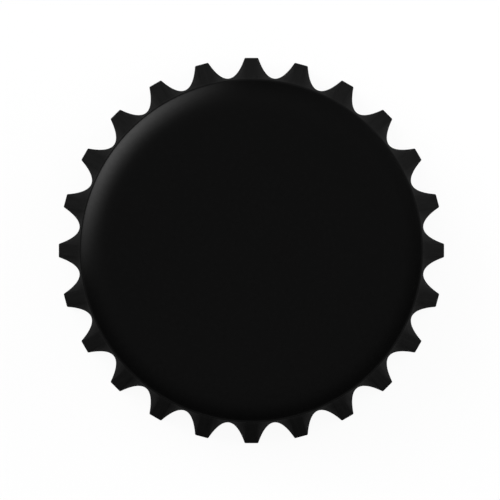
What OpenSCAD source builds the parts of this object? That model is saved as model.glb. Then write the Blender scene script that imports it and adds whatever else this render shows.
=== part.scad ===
// Bottle cap: a toothed cap pressed from lacquered sheet steel, with the moulded liner
// that seals it. It is uncrimped, as it leaves the press. Millimetres, +Z up. The cap
// stands on the cut edge of its skirt, with one tooth on +X.

/* [Shell] */
// Overall height, from the cut edge of the skirt to the top of the panel
cap_h = 6; // [5.5:0.1:7]
// Diameter over the tips of two opposite teeth
tip_d = 32.1; // [31:0.1:34]
// Outside diameter of the straight neck below the shoulder
neck_d = 28.5; // [27.5:0.1:29.5]
// Thickness of the sheet
sheet_t = 0.24; // [0.18:0.01:0.3]
// Outside radius of the gentle round at the rim of the panel
crown_r = 4; // [3.2:0.1:4.8]
// Outside radius of the corner between that round and the neck
corner_r = 0.4; // [0.35:0.05:0.8]
// Height of the whole shoulder, from the top of the panel to the top of the neck
shoulder_h = 1.35; // [1:0.05:1.5]
// Height of the straight neck, which seats on the mouth of the bottle
neck_h = 1.15; // [0.8:0.05:1.6]

/* [Teeth] */
// Number of teeth round the skirt
tooth_count = 24; // [21:1:27]
// Width of the flat on a tooth at its tip
tooth_tip_w = 1.12; // [0.8:0.02:1.4]
// Width of the flat on a tooth where it leaves the neck
tooth_neck_w = 0.9; // [0.7:0.02:1.2]
// How far the bottom of a flute leans out from the neck at the cut edge
flute_flare = 0.19; // [0.05:0.01:0.4]

/* [Liner] */
// Diameter at which the liner ends on the inside of the shoulder
liner_d = 26.8; // [26:0.1:27.2]
// Thickness of the film over the panel and the shoulder
film_t = 0.25; // [0.15:0.01:0.35]
// Diameter of the crest of the sealing bead
bead_d = 22.4; // [22:0.1:22.8]
// Width of the sealing bead
bead_w = 1.3; // [1:0.1:1.4]
// Height of the sealing bead from the inside of the panel
bead_h = 1.05; // [1:0.05:1.3]
// Diameter of the crest of the inner lip
lip_d = 19; // [18:0.1:19.4]
// Width of the inner lip
lip_w = 0.9; // [0.6:0.1:1.1]
// Height of the inner lip from the inside of the panel
lip_h = 0.85; // [0.75:0.05:1]
// Radius of the fillets at the foot of the bead and the lip
foot_r = 0.15; // [0.05:0.05:0.2]

/* [Hidden] */
$fn = 144;
// Straight pieces along the crown and the corner of the shoulder
crown_steps = 16;
corner_steps = 8;
// Straight pieces across one flute, and rows of them down the skirt
flute_steps = 12;
skirt_rows = 4;
// The skirt is let into the end of the neck by a tongue that is this much thinner on each
// side and this tall
tongue_gap = 0.01;
tongue_h = 0.1;

neck_r = neck_d / 2;
shoulder_z = cap_h - shoulder_h;
skirt_h = shoulder_z - neck_h;
panel_z = cap_h - sheet_t;

// The shoulder's two arcs meet at the angle at which their heights add up to shoulder_h. The
// crown arc's centre lies under the rim of the panel, the corner arc's at the top of the neck.
crown_a = acos((crown_r - shoulder_h) / (crown_r - corner_r));
crown_z = cap_h - crown_r;
corner_x = neck_r - corner_r;
panel_r = corner_x - (crown_r - corner_r) * sin(crown_a);

// One flute, seen in plan from the axis: its middle lies half a pitch from a tooth's middle.
// At the cut edge it is a parabola from tooth to tooth, whose lowest point is the root.
pitch = 360 / tooth_count;
tip_corner_r = norm([tip_d / 2, tooth_tip_w / 2]);
tip_corner_a = pitch / 2 - atan(tooth_tip_w / tip_d);
neck_corner_a = pitch / 2 - asin(tooth_neck_w / neck_d);
root_r = neck_r + flute_flare;
flute_half_w = tip_corner_r * sin(tip_corner_a);
flute_depth = tip_corner_r * cos(tip_corner_a) - root_r;
ring_size = tooth_count * (flute_steps + 1);

// Turns a plan point about the axis
function turned(p, a) = [p.x * cos(a) - p.y * sin(a), p.x * sin(a) + p.y * cos(a)];

// A closed ring of plan points round the whole skirt. share runs from -1 to 1 across a
// flute, and the flat of a tooth joins the last point of a flute to the first of the next.
function neck_ring(r) = [
    for (flute = [0 : tooth_count - 1], step = [0 : flute_steps])
        let (share = 2 * step / flute_steps - 1)
        turned([r, 0], (flute + 0.5) * pitch + share * neck_corner_a)
];
function edge_ring() = [
    for (flute = [0 : tooth_count - 1], step = [0 : flute_steps])
        let (share = 2 * step / flute_steps - 1)
        turned([root_r + flute_depth * share * share, flute_half_w * share], (flute + 0.5) * pitch)
];

// The skirt's faces are straight lines from the neck to the cut edge. drop is 0 at the
// neck and 1 at the edge.
neck_points = neck_ring(neck_r - tongue_gap);
edge_points = edge_ring();
function outer_ring(drop) = [
    for (i = [0 : ring_size - 1]) neck_points[i] * (1 - drop) + edge_points[i] * drop
];

// Direction along the ring at a point, and the way in towards the axis from it
function unit(v) = v / norm(v);
function leg_in(ring, i) = unit(ring[i] - ring[(i + ring_size - 1) % ring_size]);
function leg_out(ring, i) = unit(ring[(i + 1) % ring_size] - ring[i]);
function along(ring, i) = unit(leg_in(ring, i) + leg_out(ring, i));
function inward(ring, i) = turned(along(ring, i), 90);

// Secant of the slope of the wall at a point of the ring, which widens a level cut through it
function slope_secant(ring, i) = norm([1, inward(ring, i) * (edge_points[i] - neck_points[i]) / skirt_h]);

// The inside of the sheet, one thickness in from the outside and mitred at the corners. It
// starts from the wall of the neck, so the slope counts for more towards the edge.
function inner_ring(ring, drop) = [
    for (i = [0 : ring_size - 1])
        let (
            level_t = sheet_t * (1 + drop * (slope_secant(ring, i) - 1)),
            miter = leg_in(ring, i) * along(ring, i)
        )
        ring[i] + inward(ring, i) * level_t / miter
];

function at_height(ring, z) = [for (p = ring) [p.x, p.y, z]];
function row_z(row) = skirt_h * (1 - row / skirt_rows);

// Points round a centre, from one angle to another, both measured from straight up
function arc(centre, r, from, to, steps) = [
    for (step = [0 : steps])
        let (a = from + (to - from) * step / steps)
        centre + r * [sin(a), cos(a)]
];

// The points of a list, without its first one
function rest(points) = [for (i = [1 : len(points) - 1]) points[i]];

// Half section of the space that lies at least depth below the outer skin of the panel,
// the shoulder and the neck, down to floor_z. The corner starts where the crown ends.
module inside_section(depth, floor_z) {
    crown = arc([panel_r, crown_z], crown_r - depth, 0, crown_a, crown_steps);
    corner = arc([corner_x, shoulder_z], corner_r - depth, crown_a, 90, corner_steps);
    polygon(concat([[0, floor_z], [0, cap_h - depth]], crown, rest(corner), [[neck_r - depth, floor_z]]));
}

// The same for the panel and the crown alone, with the crown carried on down to the neck
module crown_section(depth) {
    end_a = acos((crown_r - shoulder_h) / (crown_r - depth));
    crown = arc([panel_r, crown_z], crown_r - depth, 0, end_a, crown_steps);
    polygon(concat([[0, shoulder_z], [0, cap_h - depth]], crown));
}

// The plain top of the shell: panel, shoulder and neck in one turned section
module shell_top() {
    rotate_extrude()
        difference() {
            inside_section(0, skirt_h);
            inside_section(sheet_t, skirt_h - sheet_t);
        }
}

// The fluted skirt: closed rings of points joined down the outside and up the inside
module skirt() {
    tongue_z = skirt_h + tongue_h;
    outside = [for (row = [0 : skirt_rows]) outer_ring(row / skirt_rows)];
    inside = [for (row = [1 : skirt_rows]) inner_ring(outside[row], row / skirt_rows)];
    neck_inside = neck_ring(neck_r - sheet_t + tongue_gap);
    rings = concat(
        [at_height(outside[0], tongue_z)],
        [for (row = [0 : skirt_rows]) at_height(outside[row], row_z(row))],
        [for (row = [skirt_rows : -1 : 1]) at_height(inside[row - 1], row_z(row))],
        [at_height(neck_inside, row_z(0)), at_height(neck_inside, tongue_z)]
    );
    ring_count = len(rings);
    points = [for (ring = rings) each ring];
    // Each four-sided patch is two triangles, split the same way on both sides of a flute
    faces = [
        for (r = [0 : ring_count - 1], i = [0 : ring_size - 1])
            let (
                a = r * ring_size + i,
                b = r * ring_size + (i + 1) % ring_size,
                c = (r + 1) % ring_count * ring_size + (i + 1) % ring_size,
                d = (r + 1) % ring_count * ring_size + i,
                first_half = i % (flute_steps + 1) < flute_steps / 2
            )
            each first_half ? [[a, b, c], [a, c, d]] : [[a, b, d], [b, c, d]]
    ];
    polyhedron(points = points, faces = faces);
}

module cap_shell() {
    color([0.06, 0.06, 0.06])
        union() {
            shell_top();
            skirt();
        }
}

// Half section of a round-nosed ridge that hangs from the inside of the panel, with
// fillets where it meets the film, no taller than the straight sides above the nose
module ridge_section(d, w, h) {
    nose_r = w / 2;
    film_z = panel_z - film_t;
    fillet_r = max(0.01, min(foot_r, h - nose_r - film_t));
    translate([d / 2, panel_z - h + nose_r]) {
        circle(r = nose_r);
        translate([-nose_r, 0])
            square([w, h - nose_r]);
    }
    for (side = [-1, 1])
        translate([d / 2 + side * (nose_r + fillet_r), film_z - fillet_r])
            difference() {
                translate([side < 0 ? 0 : -fillet_r, 0])
                    square([fillet_r, fillet_r + film_t]);
                circle(r = fillet_r);
            }
}

// The liner: a film on the inside of the panel and shoulder, with two ridges. It takes its
// upper face from the inside of the shell.
module seal_liner() {
    color([0.86, 0.86, 0.83])
        rotate_extrude()
            intersection() {
                inside_section(sheet_t, skirt_h);
                union() {
                    difference() {
                        translate([0, shoulder_z])
                            square([liner_d / 2, shoulder_h]);
                        crown_section(sheet_t + film_t);
                    }
                    ridge_section(bead_d, bead_w, bead_h);
                    ridge_section(lip_d, lip_w, lip_h);
                }
            }
}

cap_shell();
seal_liner();
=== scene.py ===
"""Bottle cap in black lacquered sheet steel, with its moulded liner, on a pale floor.

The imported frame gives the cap's place and overall size. The shell is drawn as a half section,
turned, pressed into teeth, given the thickness of its sheet and trimmed. The liner is turned
from its own half section. Lengths are in metres unless a name says otherwise.
"""

import math

import bmesh
import bpy
from bpy.props import FloatProperty, FloatVectorProperty, IntProperty, PointerProperty
from mathutils import Matrix, Vector


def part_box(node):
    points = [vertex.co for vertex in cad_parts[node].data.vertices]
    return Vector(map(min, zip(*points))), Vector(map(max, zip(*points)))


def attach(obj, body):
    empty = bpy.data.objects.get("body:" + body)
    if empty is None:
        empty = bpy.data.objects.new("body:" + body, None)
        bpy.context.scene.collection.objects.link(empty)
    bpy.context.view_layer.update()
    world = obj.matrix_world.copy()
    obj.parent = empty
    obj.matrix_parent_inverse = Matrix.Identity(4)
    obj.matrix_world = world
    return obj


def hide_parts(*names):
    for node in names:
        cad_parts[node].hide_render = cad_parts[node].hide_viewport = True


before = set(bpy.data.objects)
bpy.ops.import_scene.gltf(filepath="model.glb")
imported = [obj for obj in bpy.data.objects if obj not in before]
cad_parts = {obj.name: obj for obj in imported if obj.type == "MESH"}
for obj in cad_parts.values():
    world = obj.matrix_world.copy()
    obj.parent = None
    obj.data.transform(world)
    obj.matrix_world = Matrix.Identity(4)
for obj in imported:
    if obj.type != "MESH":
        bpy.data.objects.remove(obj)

bl_info = {
    "name": "Bottle Cap",
    "version": (1, 0, 0),
    "blender": (4, 5, 0),
    "location": "View3D > Sidebar > Bottle Cap",
    "description": "Builds a pressed bottle cap with its liner on a plain stage",
    "category": "Object",
}

BODY = "root"
SHELL_NODE = "cap_shell"
LINER_NODE = "seal_liner"

MM = 0.001
# A distance too small to see; points closer together than this count as one
HAIR = 0.001 * MM
# How near a point has to be to the plane of the trim to count as on it
ON_PLANE = HAIR / 10
FULL_TURN = math.tau
HALF_TURN = math.tau / 2
QUARTER_TURN = math.tau / 4
ORIGIN = Vector((0.0, 0.0, 0.0))
UP = Vector((0.0, 0.0, 1.0))
SHELL_LOW, SHELL_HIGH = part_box(SHELL_NODE)

# Columns of the shell's mesh across the flat of a tooth, across a flute and over both
FLAT_COLUMNS = 4
FLUTE_COLUMNS = 20
PITCH_COLUMNS = FLAT_COLUMNS + FLUTE_COLUMNS
HALF_FLAT = FLAT_COLUMNS // 2

# Columns of the liner's mesh, all the way round
LINER_COLUMNS = 288

# Steps along the shell's half section, from the middle of the panel to below the cut edge
PANEL_STEPS = 2
CROWN_STEPS = 14
CORNER_STEPS = 8
NECK_STEPS = 3
SKIRT_STEPS = 18

# Steps round a fillet and a nose of the liner's ridges, and round each curve of its film
FOOT_STEPS = 5
NOSE_STEPS = 18
FILM_STEPS = 8

# Segments across the rounding of a crease and of the cut edge, and round the floor
CREASE_SEGMENTS = 3
EDGE_SEGMENTS = 2
FLOOR_SEGMENTS = 96

# Length of skirt that is drawn below the cut edge and trimmed off, in sheet thicknesses
SPARE_SHEETS = 3

# Faces of the inner wall that meet at more than this angle make a crease
SHARP = math.radians(15.0)

# Material indices on the shell
PLAIN, PRESSED, INSIDE, CUT_EDGE = range(4)

# Times a place, these keep its X and Y, or its Z
IN_PLAN = (1.0, 1.0, 0.0)
IN_HEIGHT = (0.0, 0.0, 1.0)

# Values between which nearly all of a noise lies
NOISE_LOW = 0.3
NOISE_HIGH = 0.7

# Indices of a colour Mix node's factor, its two colours and its result
MIX_FACTOR, MIX_FIRST, MIX_SECOND, MIX_RESULT = 0, 6, 7, 2

# Heights, as the sine of the elevation, at which a glow has gone and the soft light is full
GLOW_TOP = 0.92
SKY_FULL = 0.8
# Power by which a glow falls off to both sides
GLOW_FALLOFF = 2.0

# Width of the camera's sensor in millimetres, and the nearest and farthest that it sees
SENSOR_WIDTH = 36.0
CLIP_NEAR = 0.01
CLIP_FAR = 10.0


# ---------------------------------------------------------------- sizes, finish and stage settings


def length(name, description, default_mm):
    """A property for a length, with its default in millimetres."""
    return FloatProperty(
        name=name, description=description, default=default_mm * MM, min=0.0, unit="LENGTH"
    )


def share(name, description, default, high=1.0):
    """A property for a plain number from 0 to a limit."""
    return FloatProperty(name=name, description=description, default=default, min=0.0, max=high)


def colour(name, description, default):
    """A property for a colour."""
    return FloatVectorProperty(
        name=name,
        description=description,
        default=default,
        subtype="COLOR",
        size=3,
        min=0.0,
        max=1.0,
    )


def direction(name, description, degrees):
    """A property for an angle, with its default in degrees."""
    return FloatProperty(
        name=name, description=description, default=math.radians(degrees), subtype="ANGLE"
    )


class CapShellSizes(bpy.types.PropertyGroup):
    """Sizes of the pressed shell"""

    height: length("Height", "From the cut edge to the top of the panel", SHELL_HIGH.z / MM)
    tip_diameter: length(
        "Diameter over the teeth",
        "Across the tips of two opposite teeth",
        (SHELL_HIGH.x - SHELL_LOW.x) / MM,
    )
    neck_diameter: length(
        "Neck diameter", "Outside diameter of the straight neck below the shoulder", 28.5
    )
    sheet: length("Sheet thickness", "Thickness of the steel sheet", 0.24)
    crown_radius: length(
        "Crown radius", "Outside radius of the gentle round at the rim of the panel", 4.0
    )
    corner_radius: length(
        "Corner radius", "Outside radius of the corner between the round and the neck", 0.4
    )
    shoulder_height: length(
        "Shoulder height", "From the top of the panel to the top of the neck", 1.35
    )
    neck_height: length("Neck height", "Height of the straight neck below the shoulder", 1.15)
    teeth: IntProperty(
        name="Teeth", description="Number of teeth round the skirt", default=24, min=3
    )
    tip_flat: length("Flat at the tip", "Width of the flat on a tooth at its tip", 1.12)
    neck_flat: length(
        "Flat at the neck", "Width of the flat on a tooth where it leaves the neck", 0.9
    )
    flute_flare: length(
        "Flute flare", "How far the bottom of a flute leans out at the cut edge", 0.19
    )
    crease: length("Crease rounding", "Width of the rounding along the creases of a tooth", 0.07)
    edge_break: length("Edge break", "Width of the rounding along the cut edge", 0.02)
    bend: share("Bend", "Share of the skirt's height in which it bends out from the neck", 0.06)


class CapLinerSizes(bpy.types.PropertyGroup):
    """Sizes of the moulded liner"""

    diameter: length("Diameter", "Where the liner ends on the inside of the shoulder", 26.8)
    film: length("Film thickness", "Thickness of the film over the panel and the shoulder", 0.25)
    bead_diameter: length("Bead diameter", "Diameter of the crest of the sealing bead", 22.4)
    bead_width: length("Bead width", "Width of the sealing bead", 1.3)
    bead_height: length(
        "Bead height", "From the inside of the panel to the crest of the bead", 1.05
    )
    lip_diameter: length("Lip diameter", "Diameter of the crest of the inner lip", 19.0)
    lip_width: length("Lip width", "Width of the inner lip", 0.9)
    lip_height: length("Lip height", "From the inside of the panel to the crest of the lip", 0.85)
    foot: length("Foot fillet", "Radius of the fillets at the foot of the bead and the lip", 0.15)


class CapFinish(bpy.types.PropertyGroup):
    """Colours and finishes of the shell and the liner"""

    lacquer: colour(
        "Lacquer", "Colour of the black lacquer on the panel and shoulder", (0.0006, 0.0006, 0.0006)
    )
    # A paler tone of the same lacquer for the skirt and the sharp corner: painted light, so the skirt
    # shows lighter than the top
    painted_lit_skirt_lacquer: colour(
        "Pressed lacquer",
        "Colour of the lacquer where the press has stretched it",
        (0.0039, 0.0039, 0.0039),
    )
    lacquer_roughness: share("Lacquer roughness", "Roughness of the lacquer below its gloss", 0.6)
    gloss: share("Gloss", "How much the lacquer reflects on the panel and shoulder", 0.035)
    bent_gloss: share(
        "Bent gloss", "How much the lacquer reflects at the sharp corner and the neck", 0.004
    )
    pressed_gloss: share("Pressed gloss", "How much the lacquer reflects on the skirt", 0.042)
    gloss_spread: share(
        "Gloss spread", "How far the panel and shoulder spread a reflection", 0.25
    )
    pressed_spread: share("Pressed gloss spread", "How far the skirt spreads a reflection", 0.3)
    gloss_index: share(
        "Gloss index", "Refractive index behind the gloss of the panel and shoulder", 2.5, 4.0
    )
    pressed_index: share(
        "Pressed gloss index", "Refractive index behind the gloss of the skirt", 1.25, 4.0
    )
    tinplate: colour("Tinplate", "Colour of the clear-lacquered tinplate inside", (0.56, 0.54, 0.49))
    tinplate_roughness: share("Tinplate roughness", "Roughness of the tinplate inside", 0.36)
    steel: colour("Steel", "Colour of the bare steel of the cut edge", (0.42, 0.42, 0.43))
    steel_roughness: share("Steel roughness", "Roughness of the cut edge", 0.45)
    liner: colour("Liner", "Colour of the moulded liner", (0.76, 0.76, 0.71))
    liner_roughness: share("Liner roughness", "Roughness of the moulded liner", 0.38)
    liner_haze: share("Liner haze", "How much of its light the liner scatters inside it", 0.2)
    liner_depth: length("Liner depth", "How far light goes into the liner", 0.6)


class CapStage(bpy.types.PropertyGroup):
    """The view, the lights and the floor"""

    view_width: length("View width", "Width of what the camera sees at the floor", 41.63)
    view_right: FloatProperty(
        name="View to the right",
        description="How far the middle of the view lies to the right of the cap's axis",
        default=-0.12 * MM,
        unit="LENGTH",
    )
    view_up: length(
        "View upwards", "How far the middle of the view lies above the cap's axis", 0.043
    )
    lens: FloatProperty(
        name="Lens",
        description="Focal length in millimetres; a long one looks almost straight down everywhere",
        default=1200.0,
        min=20.0,
        unit="CAMERA",
    )
    key_azimuth: direction("Key direction", "Direction of the key glow, from +X", 142.5)
    key_spread: direction("Key spread", "Angle from the key glow's middle to its end", 50.0)
    key_strength: share("Key strength", "Strength of the key glow at the horizon", 12.8, 40.0)
    fill_azimuth: direction("Fill direction", "Direction of the fill glow, from +X", 45.0)
    fill_spread: direction("Fill spread", "Angle from the fill glow's middle to its end", 60.0)
    fill_strength: share("Fill strength", "Strength of the fill glow at the horizon", 0.4, 40.0)
    sky: share("Sky", "Strength of the soft light overhead", 0.63, 4.0)
    horizon: share("Horizon", "Strength of the soft light at the horizon", 0.04, 4.0)
    lamp_azimuth: direction("Lamp direction", "Direction of the fill lamp, from +X", 18.0)
    lamp_elevation: direction("Lamp elevation", "Height of the middle of the fill lamp", 9.0)
    lamp_distance: length("Lamp distance", "From the cap to the fill lamp", 500.0)
    lamp_width: length("Lamp width", "Width of the fill lamp", 600.0)
    lamp_height: length("Lamp height", "Height of the fill lamp", 140.0)
    lamp_power: FloatProperty(
        name="Lamp power", description="Power of the fill lamp", default=4.7, min=0.0, unit="POWER"
    )
    floor_radius: length("Floor radius", "Radius of the round floor", 3900.0)
    floor_colour: colour("Floor colour", "Colour of the floor where it is lit", (0.86, 0.86, 0.86))
    floor_white: share(
        "Floor white", "Share of the floor that shows white and takes no shadow", 0.93
    )


# ---------------------------------------------------------------- drawing and turning half sections


def start_section(bm, radius, height):
    """The first vertex of a half section."""
    return bm.verts.new((radius, 0.0, height))


def line_to(bm, vert, radius, height, steps=1):
    """Draws the section on to a point in equal steps and returns the vertex there."""
    start = vert.co.copy()
    end = Vector((radius, 0.0, height))
    for step in range(steps):
        vert = bmesh.ops.extrude_vert_indiv(bm, verts=[vert])["verts"][0]
        vert.co = start.lerp(end, (step + 1) / steps)
    return vert


def arc_to(bm, vert, radius, height, angle, steps):
    """Draws the section on round a centre and returns the last vertex.

    A positive angle turns clockwise.
    """
    made = bmesh.ops.spin(
        bm,
        geom=[vert],
        cent=(radius, 0.0, height),
        axis=(0.0, 1.0, 0.0),
        dvec=ORIGIN,
        angle=angle,
        steps=steps,
        use_merge=False,
        use_duplicate=False,
    )
    return made["geom_last"][0]


def turn_full(bm, columns):
    """Spins the section round the axis, closes the poles and points the faces outwards."""
    bmesh.ops.spin(
        bm,
        geom=bm.verts[:] + bm.edges[:],
        cent=ORIGIN,
        axis=UP,
        dvec=ORIGIN,
        angle=FULL_TURN,
        steps=columns,
        use_merge=True,
        use_duplicate=False,
    )
    bmesh.ops.remove_doubles(bm, verts=bm.verts[:], dist=HAIR)
    bmesh.ops.recalc_face_normals(bm, faces=bm.faces[:])


def round_edges(bm, edges, width, segments):
    """Rounds edges over a width, in a few segments."""
    bmesh.ops.bevel(
        bm,
        geom=edges,
        offset=width,
        offset_type="OFFSET",
        segments=segments,
        profile=0.5,
        affect="EDGES",
        clamp_overlap=True,
        material=-1,
    )


def add_object(bm, name, materials):
    """Puts the finished bmesh in the scene as an object with its materials."""
    mesh = bpy.data.meshes.new(name)
    bm.to_mesh(mesh)
    bm.free()
    for material in materials:
        mesh.materials.append(material)
    made = bpy.data.objects.new(name, mesh)
    bpy.context.scene.collection.objects.link(made)
    return made


def add_piece(bm, name, materials, node):
    """Makes a smooth piece of the cap, in place of a node of the frame."""
    for face in bm.faces:
        face.smooth = True
    piece = add_object(bm, name, materials)
    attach(piece, BODY)
    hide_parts(node)


# ---------------------------------------------------------------- shell


def crown_angle(sizes):
    """Angle through which the gentle round turns down before the corner takes over."""
    rise = sizes.crown_radius - sizes.shoulder_height
    return math.acos(rise / (sizes.crown_radius - sizes.corner_radius))


def panel_radius(sizes):
    """Radius of the flat panel, inside the gentle round."""
    reach = (sizes.crown_radius - sizes.corner_radius) * math.sin(crown_angle(sizes))
    return sizes.neck_diameter / 2 - sizes.corner_radius - reach


def skirt_height(sizes):
    """Height at which the skirt leaves the neck."""
    return sizes.height - sizes.shoulder_height - sizes.neck_height


def draw_skin(bm, sizes):
    """Half section of the outer skin before the press, with some length to trim off."""
    neck_r = sizes.neck_diameter / 2
    panel_r = panel_radius(sizes)
    angle = crown_angle(sizes)
    crown_z = sizes.height - sizes.crown_radius
    corner_z = sizes.height - sizes.shoulder_height
    corner_r = neck_r - sizes.corner_radius
    vert = start_section(bm, 0.0, sizes.height)
    vert = line_to(bm, vert, panel_r, sizes.height, PANEL_STEPS)
    vert = arc_to(bm, vert, panel_r, crown_z, angle, CROWN_STEPS)
    vert = arc_to(bm, vert, corner_r, corner_z, QUARTER_TURN - angle, CORNER_STEPS)
    vert = line_to(bm, vert, neck_r, skirt_height(sizes), NECK_STEPS)
    line_to(bm, vert, neck_r, -SPARE_SHEETS * sizes.sheet, SKIRT_STEPS)


def tooth_place(column, sizes):
    """Where a column of the mesh crosses the neck and the cut edge, in plan.

    Columns count round from the middle of the tooth on +X. The flat of a tooth is straight. A
    flute is a parabola at the cut edge, from tooth to tooth, whose lowest point is its root.
    """
    pitch = FULL_TURN / sizes.teeth
    neck_r = sizes.neck_diameter / 2
    tip_r = sizes.tip_diameter / 2
    flat_angle = math.asin(sizes.neck_flat / sizes.neck_diameter)
    tooth, step = divmod(column + HALF_FLAT, PITCH_COLUMNS)
    if step <= FLAT_COLUMNS:
        across = step / HALF_FLAT - 1
        middle = tooth * pitch
        neck_angle = across * flat_angle
        edge = Vector((tip_r, across * sizes.tip_flat / 2))
    else:
        across = 2 * (step - FLAT_COLUMNS) / FLUTE_COLUMNS - 1
        middle = (tooth + 0.5) * pitch
        neck_angle = across * (pitch / 2 - flat_angle)
        corner_r = math.hypot(tip_r, sizes.tip_flat / 2)
        corner_angle = pitch / 2 - math.atan(sizes.tip_flat / sizes.tip_diameter)
        root_r = neck_r + sizes.flute_flare
        depth = corner_r * math.cos(corner_angle) - root_r
        half_width = corner_r * math.sin(corner_angle)
        edge = Vector((root_r + depth * across**2, across * half_width))
    neck = Vector((math.cos(neck_angle), math.sin(neck_angle))) * neck_r
    turn = Matrix.Rotation(middle, 2)
    return turn @ neck, turn @ edge


def way_out(drop, bend):
    """Share of its way out that the skirt has gone at a share of its height.

    It leaves the neck in a soft bend and then runs straight.
    """
    return (math.hypot(drop, bend) - bend) / (math.hypot(1.0, bend) - bend)


def column_of(vert, columns):
    """Number of the column of the mesh in which a vertex lies, counted round from +X."""
    return round(math.atan2(vert.co.y, vert.co.x) / FULL_TURN * columns) % columns


def press_teeth(bm, sizes):
    """Moves the plain skirt out to the teeth and returns the edges along their creases."""
    skirt_h = skirt_height(sizes)
    neck_r = sizes.neck_diameter / 2
    columns = sizes.teeth * PITCH_COLUMNS
    places = [tooth_place(column, sizes) for column in range(columns)]
    crease_columns = (HALF_FLAT, PITCH_COLUMNS - HALF_FLAT)
    on_crease = set()
    for vert in bm.verts:
        radius = vert.co.xy.length
        if radius < HAIR:
            continue
        column = column_of(vert, columns)
        neck, edge = places[column]
        if vert.co.z > skirt_h - HAIR:
            vert.co.xy = neck * (radius / neck_r)
        else:
            vert.co.xy = neck.lerp(edge, way_out(1 - vert.co.z / skirt_h, sizes.bend))
        if vert.co.z < skirt_h + HAIR and column % PITCH_COLUMNS in crease_columns:
            on_crease.add(vert)
    for face in bm.faces:
        below_neck = all(vert.co.z < skirt_h + HAIR for vert in face.verts)
        face.material_index = PRESSED if below_neck else PLAIN
    lines = [e for e in bm.edges if on_crease.issuperset(e.verts)]
    return [e for e in lines if abs(e.verts[0].co.z - e.verts[1].co.z) > HAIR]


def give_thickness(bm, sizes):
    """Makes a wall of the skin, one sheet thick, with its inner side marked."""
    wall = bmesh.ops.solidify(bm, geom=bm.faces[:], thickness=sizes.sheet)["geom"]
    for face in wall:
        if isinstance(face, bmesh.types.BMFace):
            face.material_index = INSIDE


def inner_creases(bm):
    """The creases on the inner side of the wall."""
    inside = [e for e in bm.edges if all(face.material_index == INSIDE for face in e.link_faces)]
    return [e for e in inside if e.calc_face_angle(0.0) > SHARP]


def trim_edge(bm, sizes):
    """Cuts the skirt level, closes the cut edge of the sheet and breaks its corners."""
    bmesh.ops.bisect_plane(
        bm,
        geom=bm.verts[:] + bm.edges[:] + bm.faces[:],
        dist=ON_PLANE,
        plane_co=ORIGIN,
        plane_no=UP,
        clear_inner=True,
    )
    loops = [e for e in bm.edges if e.is_boundary]
    cut = set(bmesh.ops.bridge_loops(bm, edges=loops)["faces"])
    for face in cut:
        face.material_index = CUT_EDGE
    corners = [e for e in bm.edges if len(cut.intersection(e.link_faces)) == 1]
    round_edges(bm, corners, sizes.edge_break, EDGE_SEGMENTS)
    bmesh.ops.recalc_face_normals(bm, faces=bm.faces[:])


class BOTTLECAP_OT_shell(bpy.types.Operator):
    """Build the pressed shell"""

    bl_idname = "bottle_cap.shell"
    bl_label = "Pressed Shell"

    def execute(self, context):
        sizes = context.scene.cap_shell_sizes
        finish = context.scene.cap_finish
        bm = bmesh.new()
        draw_skin(bm, sizes)
        turn_full(bm, sizes.teeth * PITCH_COLUMNS)
        outer_creases = press_teeth(bm, sizes)
        give_thickness(bm, sizes)
        round_edges(bm, outer_creases + inner_creases(bm), sizes.crease, CREASE_SEGMENTS)
        trim_edge(bm, sizes)
        materials = [
            black_lacquer(finish, sizes),
            painted_lit_skirt_lacquer(finish),
            clear_lacquered_tinplate(finish),
            bare_steel(finish),
        ]
        add_piece(bm, "pressed_shell", materials, SHELL_NODE)
        return {"FINISHED"}


# ---------------------------------------------------------------- liner


def ridge(bm, vert, middle, width, crest_z, film_z, foot, lower=0.0, turn_on=0.0):
    """Draws a round-nosed ridge that hangs from the film, with a fillet on each side of its foot.

    The outer fillet starts lower and turns on further where the film slopes down there.
    """
    nose = width / 2
    outer_z = film_z - foot - lower
    vert = line_to(bm, vert, middle - nose - foot, film_z)
    vert = arc_to(bm, vert, middle - nose - foot, film_z - foot, QUARTER_TURN, FOOT_STEPS)
    vert = line_to(bm, vert, middle - nose, crest_z + nose)
    vert = arc_to(bm, vert, middle, crest_z + nose, -HALF_TURN, NOSE_STEPS)
    vert = line_to(bm, vert, middle + nose, outer_z)
    return arc_to(bm, vert, middle + nose + foot, outer_z, QUARTER_TURN + turn_on, FOOT_STEPS)


def draw_liner(bm, shell, sizes):
    """Half section of the liner, from the middle of its film to its rim and back along the shell."""
    panel_r = panel_radius(shell)
    crown_z = shell.height - shell.crown_radius
    panel_z = shell.height - shell.sheet - HAIR
    film_z = panel_z - sizes.film
    lip_r = sizes.lip_diameter / 2
    lip_z = panel_z - sizes.lip_height
    bead_r = sizes.bead_diameter / 2
    bead_z = panel_z - sizes.bead_height

    # The underside of the film follows the crown. The bead's outer fillet ends on that curve.
    under_r = film_z - crown_z
    bead_reach = bead_r + sizes.bead_width / 2 + sizes.foot - panel_r
    slope = math.asin(bead_reach / (under_r - sizes.foot))
    lower = (under_r - sizes.foot) * (1 - math.cos(slope))

    # The film ends in a round rim that touches both of its faces
    rim_r = sizes.film / 2
    rim_reach = sizes.diameter / 2 - rim_r - panel_r
    rim_angle = math.asin(rim_reach / (under_r + rim_r))
    rim_z = crown_z + (under_r + rim_r) * math.cos(rim_angle)

    vert = start_section(bm, 0.0, film_z)
    vert = line_to(bm, vert, lip_r / 2, film_z)
    vert = ridge(bm, vert, lip_r, sizes.lip_width, lip_z, film_z, sizes.foot)
    vert = ridge(bm, vert, bead_r, sizes.bead_width, bead_z, film_z, sizes.foot, lower, slope)
    vert = arc_to(bm, vert, panel_r, crown_z, rim_angle - slope, FILM_STEPS)
    vert = arc_to(bm, vert, panel_r + rim_reach, rim_z, -HALF_TURN, FILM_STEPS)
    vert = arc_to(bm, vert, panel_r, crown_z, -rim_angle, FILM_STEPS)
    line_to(bm, vert, 0.0, panel_z, PANEL_STEPS)


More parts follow.
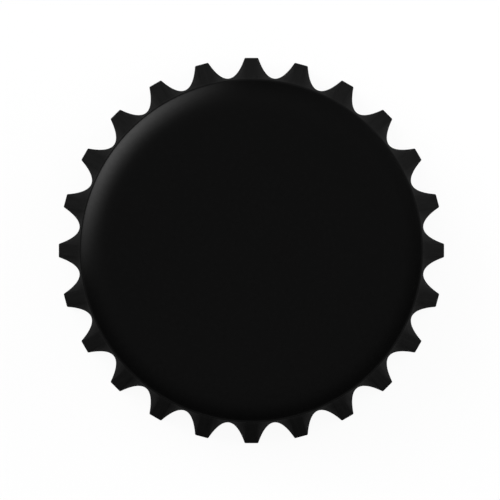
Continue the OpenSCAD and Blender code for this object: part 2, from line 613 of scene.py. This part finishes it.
class BOTTLECAP_OT_liner(bpy.types.Operator):
    """Build the moulded sealing liner"""

    bl_idname = "bottle_cap.liner"
    bl_label = "Sealing Liner"

    def execute(self, context):
        bm = bmesh.new()
        draw_liner(bm, context.scene.cap_shell_sizes, context.scene.cap_liner_sizes)
        turn_full(bm, LINER_COLUMNS)
        materials = [liner_compound(context.scene.cap_finish)]
        add_piece(bm, "moulded_liner", materials, LINER_NODE)
        return {"FINISHED"}


# ---------------------------------------------------------------- shader nodes


def feed(tree, value, socket):
    """Links a socket to an input, or sets the input to a plain value."""
    if isinstance(value, bpy.types.NodeSocket):
        tree.links.new(value, socket)
    else:
        socket.default_value = value


def math_node(tree, operation, first, second):
    """A Math node; each of its two inputs is a number or a socket."""
    node = tree.nodes.new("ShaderNodeMath")
    node.operation = operation
    feed(tree, first, node.inputs[0])
    feed(tree, second, node.inputs[1])
    return node.outputs["Value"]


def vector_math(tree, operation, first, second=None):
    """A Vector Math node; each of its inputs is a socket or a vector, or a scale for SCALE."""
    node = tree.nodes.new("ShaderNodeVectorMath")
    node.operation = operation
    feed(tree, first, node.inputs[0])
    if second is not None:
        feed(tree, second, node.inputs["Scale" if operation == "SCALE" else 1])
    return node.outputs["Value" if operation == "DOT_PRODUCT" else "Vector"]


def map_range(tree, value, from_low, from_high, to_low, to_high, smooth=False):
    """A Map Range node; its four limits are numbers or sockets."""
    node = tree.nodes.new("ShaderNodeMapRange")
    node.interpolation_type = "SMOOTHSTEP" if smooth else "LINEAR"
    feed(tree, value, node.inputs["Value"])
    feed(tree, from_low, node.inputs["From Min"])
    feed(tree, from_high, node.inputs["From Max"])
    feed(tree, to_low, node.inputs["To Min"])
    feed(tree, to_high, node.inputs["To Max"])
    return node.outputs["Result"]


def noise(tree, place, scale, detail):
    """A soft noise over a place; a larger scale makes its lumps smaller."""
    node = tree.nodes.new("ShaderNodeTexNoise")
    feed(tree, place, node.inputs["Vector"])
    feed(tree, scale, node.inputs["Scale"])
    feed(tree, detail, node.inputs["Detail"])
    return node.outputs["Fac"]


def plan_direction(tree, place):
    """Which way a place or a direction points in plan, one unit long."""
    flat = vector_math(tree, "MULTIPLY", place, IN_PLAN)
    return vector_math(tree, "NORMALIZE", flat)


def height_of(tree, place):
    """The Z of a place or a direction."""
    node = tree.nodes.new("ShaderNodeSeparateXYZ")
    tree.links.new(place, node.inputs[0])
    return node.outputs["Z"]


def blend(tree, factor, first, second):
    """A colour that goes from the first to the second with the factor."""
    node = tree.nodes.new("ShaderNodeMix")
    node.data_type = "RGBA"
    tree.links.new(factor, node.inputs[MIX_FACTOR])
    tree.links.new(first, node.inputs[MIX_FIRST])
    tree.links.new(second, node.inputs[MIX_SECOND])
    return node.outputs[MIX_RESULT]


def varied(tree, base, amount):
    """A colour times an amount that varies over the surface."""
    return vector_math(tree, "SCALE", tuple(base), amount)


# ---------------------------------------------------------------- surface effects


def new_group(name, inputs):
    """An empty node group that puts out a share and a height; inputs are name, kind and default."""
    tree = bpy.data.node_groups.new(name, "ShaderNodeTree")
    for label, kind, default in inputs:
        socket = tree.interface.new_socket(name=label, in_out="INPUT", socket_type=kind)
        if default is not None:
            socket.default_value = default
    for label in ("Share", "Height"):
        tree.interface.new_socket(name=label, in_out="OUTPUT", socket_type="NodeSocketFloat")
    given = tree.nodes.new("NodeGroupInput").outputs
    return tree, given, tree.nodes.new("NodeGroupOutput").inputs


def swing_about_one(tree, value, swing):
    """Turns a noise into a share that swings to both sides of 1."""
    low = math_node(tree, "SUBTRACT", 1.0, swing)
    high = math_node(tree, "ADD", 1.0, swing)
    return map_range(tree, value, NOISE_LOW, NOISE_HIGH, low, high)


def make_coat_grain():
    """Soft dimples of a rolled or sprayed coat: a share that swings about 1 and their height."""
    inputs = (
        ("Place", "NodeSocketVector", None),
        ("Dimple Size", "NodeSocketFloat", 0.4 * MM),
        ("Swing", "NodeSocketFloat", 0.1),
    )
    tree, given, result = new_group("coat_grain", inputs)
    scale = math_node(tree, "DIVIDE", 1.0, given["Dimple Size"])
    dimples = noise(tree, given["Place"], scale, detail=2.0)
    tree.links.new(swing_about_one(tree, dimples, given["Swing"]), result["Share"])
    tree.links.new(dimples, result["Height"])
    return tree


def make_draw_marks():
    """Fine marks along the skirt from the press: a share that swings about 1 and their height."""
    inputs = (
        ("Place", "NodeSocketVector", None),
        ("Marks Around", "NodeSocketFloat", 900.0),
        ("Mark Length", "NodeSocketFloat", 3.0 * MM),
        ("Swing", "NodeSocketFloat", 0.1),
    )
    tree, given, result = new_group("draw_marks", inputs)
    marks_radius = math_node(tree, "DIVIDE", given["Marks Around"], FULL_TURN)
    around = vector_math(tree, "SCALE", plan_direction(tree, given["Place"]), marks_radius)
    marks_rise = math_node(tree, "DIVIDE", 1.0, given["Mark Length"])
    rise = vector_math(tree, "MULTIPLY", given["Place"], IN_HEIGHT)
    along = vector_math(tree, "SCALE", rise, marks_rise)
    marks = noise(tree, vector_math(tree, "ADD", around, along), scale=1.0, detail=3.0)
    tree.links.new(swing_about_one(tree, marks, given["Swing"]), result["Share"])
    tree.links.new(marks, result["Height"])
    return tree


def place_group(tree, make, place, **values):
    """Places a group in a material, making it the first time, and returns its outputs.

    The values go to the inputs of the same name.
    """
    name = make.__name__.removeprefix("make_")
    node = tree.nodes.new("ShaderNodeGroup")
    node.node_tree = bpy.data.node_groups.get(name) or make()
    tree.links.new(place, node.inputs["Place"])
    for label, value in values.items():
        node.inputs[label.replace("_", " ").title()].default_value = value
    return node.outputs


def bump(tree, shader, height, depth):
    """Roughens a shader's surface by a height that varies over it."""
    node = tree.nodes.new("ShaderNodeBump")
    node.inputs["Distance"].default_value = depth
    tree.links.new(height, node.inputs["Height"])
    tree.links.new(node.outputs["Normal"], shader.inputs["Normal"])


# ---------------------------------------------------------------- materials


def new_material(name):
    """A material with its node tree, its Principled shader and the place on the object."""
    material = bpy.data.materials.new(name)
    material.use_nodes = True
    tree = material.node_tree
    coords = tree.nodes.new("ShaderNodeTexCoord")
    return material, tree, tree.nodes["Principled BSDF"], coords.outputs["Object"]


def set_lacquer(shader, finish, index, spread):
    """Plain values of the black lacquer, which shines by its coat alone."""
    shader.inputs["Roughness"].default_value = finish.lacquer_roughness
    shader.inputs["Specular IOR Level"].default_value = 0.0
    shader.inputs["Coat IOR"].default_value = index
    shader.inputs["Coat Roughness"].default_value = spread


def black_lacquer(finish, sizes):
    """The lacquer on the panel, the shoulder and the neck; it dulls where the sheet bends sharply,
    and over the sharp corner its colour turns to the skirt's paler tone, painted light along the rim.
    """
    material, tree, shader, place = new_material("black_lacquer")
    grain = place_group(tree, make_coat_grain, place, dimple_size=0.35 * MM, swing=0.05)
    height = height_of(tree, place)
    neck_z = sizes.height - sizes.shoulder_height
    bend_z = neck_z + sizes.corner_radius * math.cos(crown_angle(sizes))
    # The gloss dulls over the upper two thirds of the sharp corner; over all of it the colour turns
    # to the skirt's paler tone, painted light along the rim
    dull_z = (2 * neck_z + bend_z) / 3
    gloss = map_range(tree, height, bend_z, dull_z, finish.gloss, finish.bent_gloss, smooth=True)
    weight = math_node(tree, "MULTIPLY", gloss, grain["Share"])
    painted_rim_light_share = map_range(tree, height, bend_z, neck_z, 0.0, 1.0, smooth=True)
    plain_tone = varied(tree, finish.lacquer, grain["Share"])
    painted_rim_light_tone = varied(tree, finish.painted_lit_skirt_lacquer, grain["Share"])
    tree.links.new(weight, shader.inputs["Coat Weight"])
    # Near-black on top, turning to the paler tone over the corner: painted light along the rim
    tree.links.new(blend(tree, painted_rim_light_share, plain_tone, painted_rim_light_tone), shader.inputs["Base Color"])
    bump(tree, shader, grain["Height"], depth=0.001 * MM)
    set_lacquer(shader, finish, finish.gloss_index, finish.gloss_spread)
    return material


def worn(tree, place, marks_around, mark_length, mark_swing, dimple_size, dimple_swing):
    """Draw marks times grain, as a share that swings about 1, and the height of the marks."""
    marks = place_group(
        tree,
        make_draw_marks,
        place,
        marks_around=marks_around,
        mark_length=mark_length,
        swing=mark_swing,
    )
    grain = place_group(tree, make_coat_grain, place, dimple_size=dimple_size, swing=dimple_swing)
    return math_node(tree, "MULTIPLY", marks["Share"], grain["Share"]), marks["Height"]


def painted_lit_skirt_lacquer(finish):
    """The same lacquer on the skirt, rubbed by the press, in a paler tone: painted light that makes
    the skirt lighter than the top.
    """
    material, tree, shader, place = new_material("painted_lit_skirt_lacquer")
    wear, height = worn(
        tree,
        place,
        marks_around=1100.0,
        mark_length=2.5 * MM,
        mark_swing=0.16,
        dimple_size=0.3 * MM,
        dimple_swing=0.06,
    )
    weight = math_node(tree, "MULTIPLY", wear, finish.pressed_gloss)
    # The paler tone is painted light on the skirt; the marks and grain on it are real wear
    tree.links.new(varied(tree, finish.painted_lit_skirt_lacquer, wear), shader.inputs["Base Color"])
    tree.links.new(weight, shader.inputs["Coat Weight"])
    bump(tree, shader, height, depth=0.002 * MM)
    set_lacquer(shader, finish, finish.pressed_index, finish.pressed_spread)
    return material


def clear_lacquered_tinplate(finish):
    """Bright tinplate under a clear varnish, with the press's marks on it."""
    material, tree, shader, place = new_material("clear_lacquered_tinplate")
    wear, height = worn(
        tree,
        place,
        marks_around=700.0,
        mark_length=4.0 * MM,
        mark_swing=0.08,
        dimple_size=0.5 * MM,
        dimple_swing=0.06,
    )
    roughness = math_node(tree, "MULTIPLY", wear, finish.tinplate_roughness)
    tree.links.new(varied(tree, finish.tinplate, wear), shader.inputs["Base Color"])
    tree.links.new(roughness, shader.inputs["Roughness"])
    bump(tree, shader, height, depth=0.003 * MM)
    shader.inputs["Metallic"].default_value = 1.0
    return material


def bare_steel(finish):
    """The cut edge of the sheet, torn in fine lines across its thickness."""
    material, tree, shader, place = new_material("bare_steel")
    marks = place_group(
        tree, make_draw_marks, place, marks_around=2400.0, mark_length=1.0 * MM, swing=0.25
    )
    roughness = math_node(tree, "MULTIPLY", marks["Share"], finish.steel_roughness)
    tree.links.new(varied(tree, finish.steel, marks["Share"]), shader.inputs["Base Color"])
    tree.links.new(roughness, shader.inputs["Roughness"])
    bump(tree, shader, marks["Height"], depth=0.004 * MM)
    shader.inputs["Metallic"].default_value = 1.0
    return material


def liner_compound(finish):
    """Slightly waxy, slightly see-through moulded liner."""
    material, tree, shader, place = new_material("liner_compound")
    grain = place_group(tree, make_coat_grain, place, dimple_size=0.7 * MM, swing=0.03)
    roughness = math_node(tree, "MULTIPLY", grain["Share"], finish.liner_roughness)
    tree.links.new(varied(tree, finish.liner, grain["Share"]), shader.inputs["Base Color"])
    tree.links.new(roughness, shader.inputs["Roughness"])
    bump(tree, shader, grain["Height"], depth=0.004 * MM)
    shader.inputs["Subsurface Weight"].default_value = finish.liner_haze
    shader.inputs["Subsurface Scale"].default_value = finish.liner_depth
    return material


# ---------------------------------------------------------------- stage


def shows_background(tree):
    """1 for the rays that show the background: the camera's, a reflection's and a refraction's."""
    path = tree.nodes.new("ShaderNodeLightPath").outputs
    seen_in_object = math_node(tree, "MAXIMUM", path["Is Glossy Ray"], path["Is Transmission Ray"])
    return math_node(tree, "MAXIMUM", path["Is Camera Ray"], seen_in_object)


def pale_floor(stage):
    """A pale floor that shows white, and takes a faint shadow in what is left of it."""
    material = bpy.data.materials.new("pale_floor")
    material.use_nodes = True
    tree = material.node_tree
    tree.nodes.clear()
    lit = tree.nodes.new("ShaderNodeBsdfDiffuse")
    lit.inputs["Color"].default_value = (*stage.floor_colour, 1.0)
    white = tree.nodes.new("ShaderNodeEmission")
    mix = tree.nodes.new("ShaderNodeMixShader")
    output = tree.nodes.new("ShaderNodeOutputMaterial")
    white_part = math_node(tree, "MULTIPLY", shows_background(tree), stage.floor_white)
    factor, first, second = mix.inputs
    tree.links.new(white_part, factor)
    tree.links.new(lit.outputs["BSDF"], first)
    tree.links.new(white.outputs["Emission"], second)
    tree.links.new(mix.outputs["Shader"], output.inputs["Surface"])
    return material


def make_floor(stage):
    """A plain round floor, wide enough to fill a low view."""
    bm = bmesh.new()
    bmesh.ops.create_circle(bm, cap_ends=True, segments=FLOOR_SEGMENTS, radius=stage.floor_radius)
    floor = add_object(bm, "floor", [pale_floor(stage)])


def glow(tree, height, plan, azimuth, spread, strength):
    """A soft glow low in one direction, which fades upwards and to both sides."""
    middle = (math.cos(azimuth), math.sin(azimuth), 0.0)
    facing = vector_math(tree, "DOT_PRODUCT", plan, middle)
    across = map_range(tree, facing, math.cos(spread), 1.0, 0.0, 1.0)
    upwards = map_range(tree, height, 0.0, GLOW_TOP, strength, 0.0, smooth=True)
    return math_node(tree, "MULTIPLY", math_node(tree, "POWER", across, GLOW_FALLOFF), upwards)


def make_world(stage):
    """A soft light overhead that falls off towards the horizon, with a glow low down on two sides."""
    world = bpy.data.worlds.new("studio")
    bpy.context.scene.world = world
    world.use_nodes = True
    tree = world.node_tree
    way = tree.nodes.new("ShaderNodeTexCoord").outputs["Generated"]
    height = height_of(tree, way)
    plan = plan_direction(tree, way)
    soft = map_range(tree, height, 0.0, SKY_FULL, stage.horizon, stage.sky)
    key = glow(tree, height, plan, stage.key_azimuth, stage.key_spread, stage.key_strength)
    fill = glow(tree, height, plan, stage.fill_azimuth, stage.fill_spread, stage.fill_strength)
    glows = math_node(tree, "ADD", key, fill)
    background = tree.nodes["Background"]
    background.inputs["Color"].default_value = (1.0, 1.0, 1.0, 1.0)
    tree.links.new(math_node(tree, "ADD", soft, glows), background.inputs["Strength"])


def make_fill_lamp(stage):
    """A soft box low on one side, which lights the skirt and leaves no glint on the lacquer."""
    data = bpy.data.lights.new("fill", "AREA")
    data.shape = "RECTANGLE"
    data.size = stage.lamp_width
    data.size_y = stage.lamp_height
    data.energy = stage.lamp_power
    lamp = bpy.data.objects.new("fill", data)
    level = math.cos(stage.lamp_elevation)
    away = Vector(
        (
            math.cos(stage.lamp_azimuth) * level,
            math.sin(stage.lamp_azimuth) * level,
            math.sin(stage.lamp_elevation),
        )
    )
    lamp.location = away * stage.lamp_distance
    lamp.rotation_euler = away.to_track_quat("Z", "Y").to_euler()
    lamp.visible_camera = False
    lamp.visible_glossy = False
    bpy.context.scene.collection.objects.link(lamp)


def make_camera(stage):
    """A camera straight above the cap, with +X to its right."""
    data = bpy.data.cameras.new("camera")
    data.lens = stage.lens
    data.sensor_width = SENSOR_WIDTH
    data.clip_start = CLIP_NEAR
    data.clip_end = CLIP_FAR
    camera = bpy.data.objects.new("camera", data)
    distance = stage.view_width * data.lens / data.sensor_width
    camera.location = (stage.view_right, stage.view_up, distance)
    bpy.context.scene.collection.objects.link(camera)
    bpy.context.scene.camera = camera


class BOTTLECAP_OT_stage(bpy.types.Operator):
    """Set up the floor, the lights and the camera"""

    bl_idname = "bottle_cap.stage"
    bl_label = "Stage"

    def execute(self, context):
        stage = context.scene.cap_stage
        make_floor(stage)
        make_world(stage)
        make_fill_lamp(stage)
        make_camera(stage)
        context.scene.view_settings.view_transform = "Standard"
        return {"FINISHED"}


# ---------------------------------------------------------------- panel and registration


BUILD_ORDER = ("bottle_cap.shell", "bottle_cap.liner", "bottle_cap.stage")
GROUPS = {
    "cap_shell_sizes": CapShellSizes,
    "cap_liner_sizes": CapLinerSizes,
    "cap_finish": CapFinish,
    "cap_stage": CapStage,
}


class BOTTLECAP_PT_panel(bpy.types.Panel):
    """Sizes, finish and build steps of the bottle cap"""

    bl_label = "Bottle Cap"
    bl_idname = "BOTTLECAP_PT_panel"
    bl_space_type = "VIEW_3D"
    bl_region_type = "UI"
    bl_category = "Bottle Cap"

    def draw(self, context):
        for group, kind in GROUPS.items():
            box = self.layout.box()
            for name in kind.__annotations__:
                box.prop(getattr(context.scene, group), name)
        for operator in BUILD_ORDER:
            self.layout.operator(operator)


CLASSES = (BOTTLECAP_OT_shell, BOTTLECAP_OT_liner, BOTTLECAP_OT_stage, BOTTLECAP_PT_panel)


def register():
    for name, group in GROUPS.items():
        bpy.utils.register_class(group)
        setattr(bpy.types.Scene, name, PointerProperty(type=group))
    for cls in CLASSES:
        bpy.utils.register_class(cls)


def unregister():
    for cls in reversed(CLASSES):
        bpy.utils.unregister_class(cls)
    for name, group in GROUPS.items():
        delattr(bpy.types.Scene, name)
        bpy.utils.unregister_class(group)


def main():
    """Builds the cap and its stage."""
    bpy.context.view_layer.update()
    register()
    bpy.ops.bottle_cap.shell()
    bpy.ops.bottle_cap.liner()
    bpy.ops.bottle_cap.stage()


if __name__ == "__main__":
    main()
